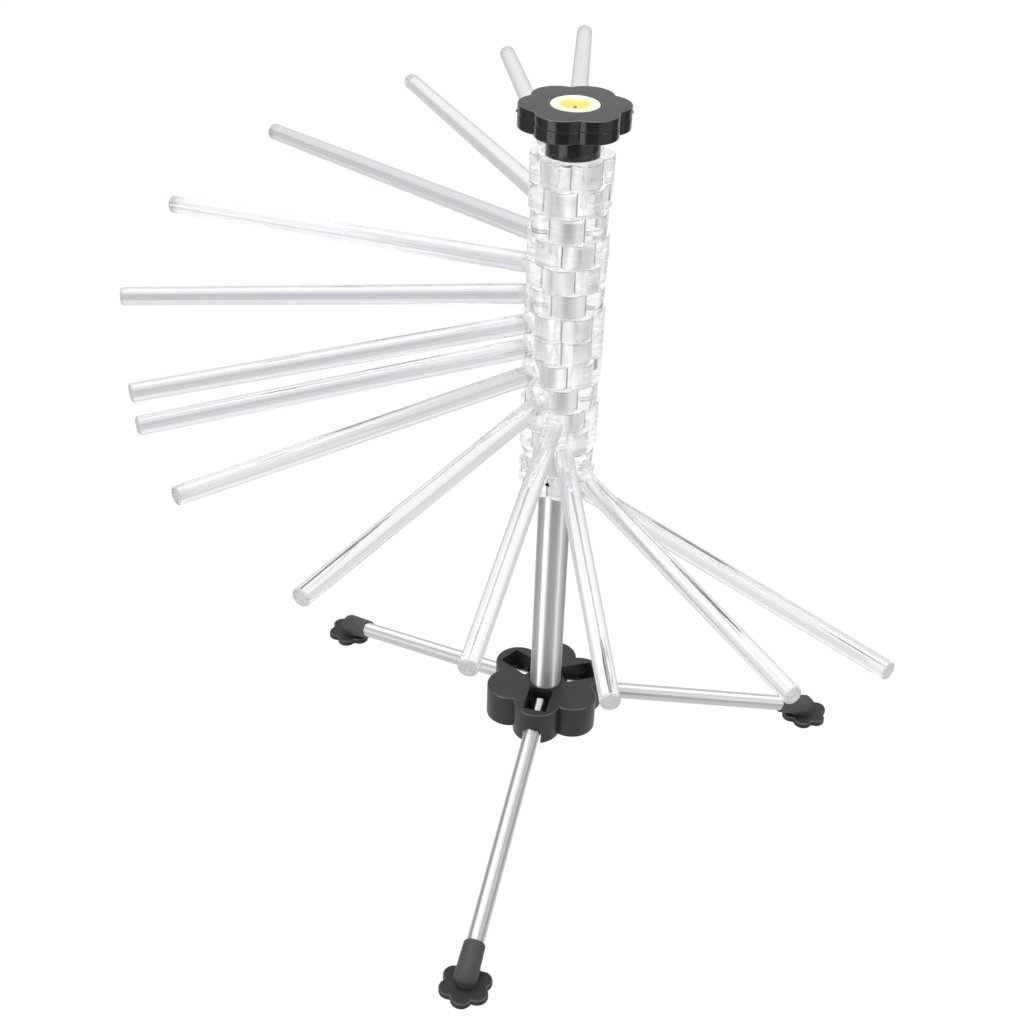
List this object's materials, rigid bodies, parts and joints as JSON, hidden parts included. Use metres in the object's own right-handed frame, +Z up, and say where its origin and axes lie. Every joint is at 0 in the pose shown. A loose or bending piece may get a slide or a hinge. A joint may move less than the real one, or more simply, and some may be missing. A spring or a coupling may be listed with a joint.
{
  "type": "pasta drying rack",
  "caption": "Table-top pasta drying rack: clear arms that fan out round a steel pole, turned by a lobed knob, on folding tripod legs with rubber feet.",
  "frame": {"origin": "centre of the base hub's underside, on the pole's axis, 49 mm above the table", "axes": "+Z up the pole, -Y along the front leg"},
  "size_m": [0.4253, 0.46, 0.438],
  "materials": {
    "clear_plastic": "clear polished",
    "brushed_tube": "brushed along the tube",
    "black_plastic": "fine satin",
    "knob_plastic": "satin top, glossy sides",
    "black_rubber": "matt",
    "cream_plastic": "glossy",
    "screw_steel": "zinc bright",
    "black_screw": "black oxide"
  },
  "bodies": {
    "stand": {"base_hub": "black_plastic", "base_cover": "black_plastic", "cover_screws": "screw_steel", "base_screw": "screw_steel", "pole": "brushed_tube", "pole_plug": "black_plastic", "leg_pin_front": "screw_steel", "leg_pin_right": "screw_steel", "leg_pin_left": "screw_steel", "arm_14": "clear_plastic", "arm_screw": "black_screw", "top_bush": "black_plastic"},
    "front_leg": {"leg_front": "brushed_tube", "foot_front": "black_rubber"},
    "right_leg": {"leg_right": "brushed_tube", "foot_right": "black_rubber"},
    "left_leg": {"leg_left": "brushed_tube", "foot_left": "black_rubber"},
    "arm_13": {"arm_13": "clear_plastic"},
    "arm_12": {"arm_12": "clear_plastic"},
    "arm_11": {"arm_11": "clear_plastic"},
    "arm_10": {"arm_10": "clear_plastic"},
    "arm_09": {"arm_09": "clear_plastic"},
    "arm_08": {"arm_08": "clear_plastic"},
    "arm_07": {"arm_07": "clear_plastic"},
    "arm_06": {"arm_06": "clear_plastic"},
    "arm_05": {"arm_05": "clear_plastic"},
    "arm_04": {"arm_04": "clear_plastic"},
    "arm_03": {"arm_03": "clear_plastic"},
    "arm_02": {"arm_02": "clear_plastic"},
    "arm_01": {"arm_01": "clear_plastic"},
    "knob": {"knob_lower": "knob_plastic", "knob_upper": "knob_plastic"},
    "wand": {"wand_rod": "cream_plastic", "wand_cap": "cream_plastic"}
  },
  "joints": [
    {"name": "front_leg_fold", "type": "hinge", "parent": "stand", "child": "front_leg", "pos_m": [0, -0.024, 0.009], "axis": [1, 0, 0], "range_deg": [0, 73]},
    {"name": "right_leg_fold", "type": "hinge", "parent": "stand", "child": "right_leg", "pos_m": [0.02078, 0.012, 0.009], "axis": [-0.5, 0.866, 0], "range_deg": [0, 73]},
    {"name": "left_leg_fold", "type": "hinge", "parent": "stand", "child": "left_leg", "pos_m": [-0.02078, 0.012, 0.009], "axis": [-0.5, -0.866, 0], "range_deg": [0, 73]},
    {"name": "arm_13_turn", "type": "hinge", "parent": "stand", "child": "arm_13", "pos_m": [0, 0, 0.189], "axis": [0, 0, 1], "range_deg": [-9.71, 16]},
    {"name": "arm_12_turn", "type": "hinge", "parent": "arm_13", "child": "arm_12", "pos_m": [0, 0, 0.203], "axis": [0, 0, 1], "range_deg": [-3.71, 22]},
    {"name": "arm_11_turn", "type": "hinge", "parent": "arm_12", "child": "arm_11", "pos_m": [0, 0, 0.217], "axis": [0, 0, 1], "range_deg": [-10.21, 15.5]},
    {"name": "arm_10_turn", "type": "hinge", "parent": "arm_11", "child": "arm_10", "pos_m": [0, 0, 0.231], "axis": [0, 0, 1], "range_deg": [-5.71, 20]},
    {"name": "arm_09_turn", "type": "hinge", "parent": "arm_10", "child": "arm_09", "pos_m": [0, 0, 0.245], "axis": [0, 0, 1], "range_deg": [-4.21, 21.5]},
    {"name": "arm_08_turn", "type": "hinge", "parent": "arm_09", "child": "arm_08", "pos_m": [0, 0, 0.259], "axis": [0, 0, 1], "range_deg": [-14.21, 11.5]},
    {"name": "arm_07_turn", "type": "hinge", "parent": "arm_08", "child": "arm_07", "pos_m": [0, 0, 0.273], "axis": [0, 0, 1], "range_deg": [-23.71, 2]},
    {"name": "arm_06_turn", "type": "hinge", "parent": "arm_07", "child": "arm_06", "pos_m": [0, 0, 0.287], "axis": [0, 0, 1], "range_deg": [-6.21, 19.5]},
    {"name": "arm_05_turn", "type": "hinge", "parent": "arm_06", "child": "arm_05", "pos_m": [0, 0, 0.301], "axis": [0, 0, 1], "range_deg": [-3.21, 22.5]},
    {"name": "arm_04_turn", "type": "hinge", "parent": "arm_05", "child": "arm_04", "pos_m": [0, 0, 0.315], "axis": [0, 0, 1], "range_deg": [-2.21, 23.5]},
    {"name": "arm_03_turn", "type": "hinge", "parent": "arm_04", "child": "arm_03", "pos_m": [0, 0, 0.329], "axis": [0, 0, 1], "range_deg": [-1.21, 24.5]},
    {"name": "arm_02_turn", "type": "hinge", "parent": "arm_03", "child": "arm_02", "pos_m": [0, 0, 0.343], "axis": [0, 0, 1], "range_deg": [-10.21, 15.5]},
    {"name": "arm_01_turn", "type": "hinge", "parent": "arm_02", "child": "arm_01", "pos_m": [0, 0, 0.357], "axis": [0, 0, 1], "range_deg": [-13.71, 12]},
    {"name": "knob_turn", "type": "hinge", "parent": "arm_01", "child": "knob", "pos_m": [0, 0, 0.383], "axis": [0, 0, 1], "range_deg": [-11.71, 14]},
    {"name": "wand_pull", "type": "slide", "parent": "stand", "child": "wand", "axis": [0, 0, 1], "range_m": [0, 0.26]}
  ]
}
